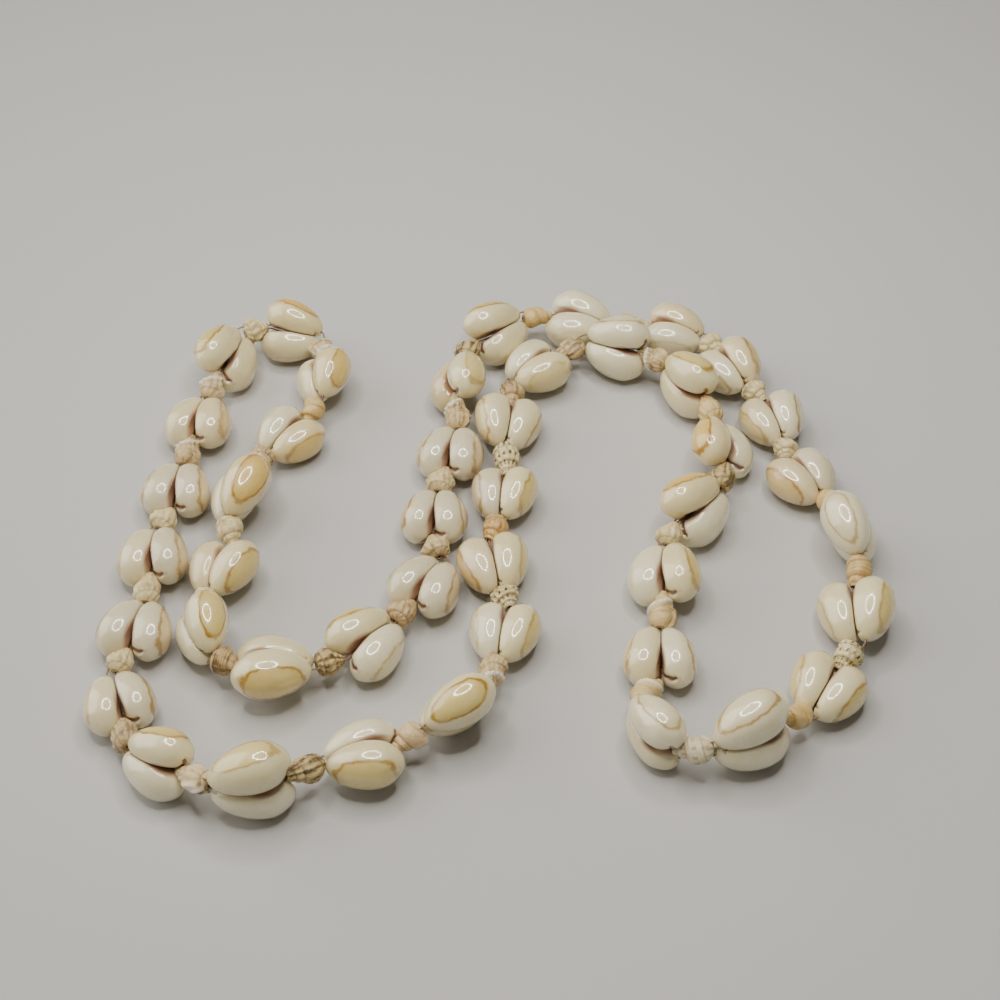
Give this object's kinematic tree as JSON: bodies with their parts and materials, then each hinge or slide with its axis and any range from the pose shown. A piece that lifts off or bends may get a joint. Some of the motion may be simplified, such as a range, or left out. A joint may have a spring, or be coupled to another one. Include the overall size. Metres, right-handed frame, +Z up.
{
  "type": "shell necklace",
  "caption": "Closed loop of paired ring cowries strung belly to belly, with small sea snail shells between the pairs, lying loosely coiled on a surface.",
  "frame": {"origin": "middle of the laid-out necklace's box, on the surface it lies on", "axes": "+Z up, +X the long way of the layout, -Y toward the viewer"},
  "size_m": [0.1776, 0.1582, 0.0184],
  "materials": {
    "cowrie_shell": "glossy natural shell enamel, cream white with an ochre ring",
    "snail_shell": "satin natural shell, cream to brown, speckled or ribbed",
    "cord": "thin pale twisted cord"
  },
  "bodies": {
    "root": {"cowries_left": "cowrie_shell", "cowries_right": "cowrie_shell", "spacer_shells": "snail_shell", "thread": "cord"}
  },
  "joints": []
}
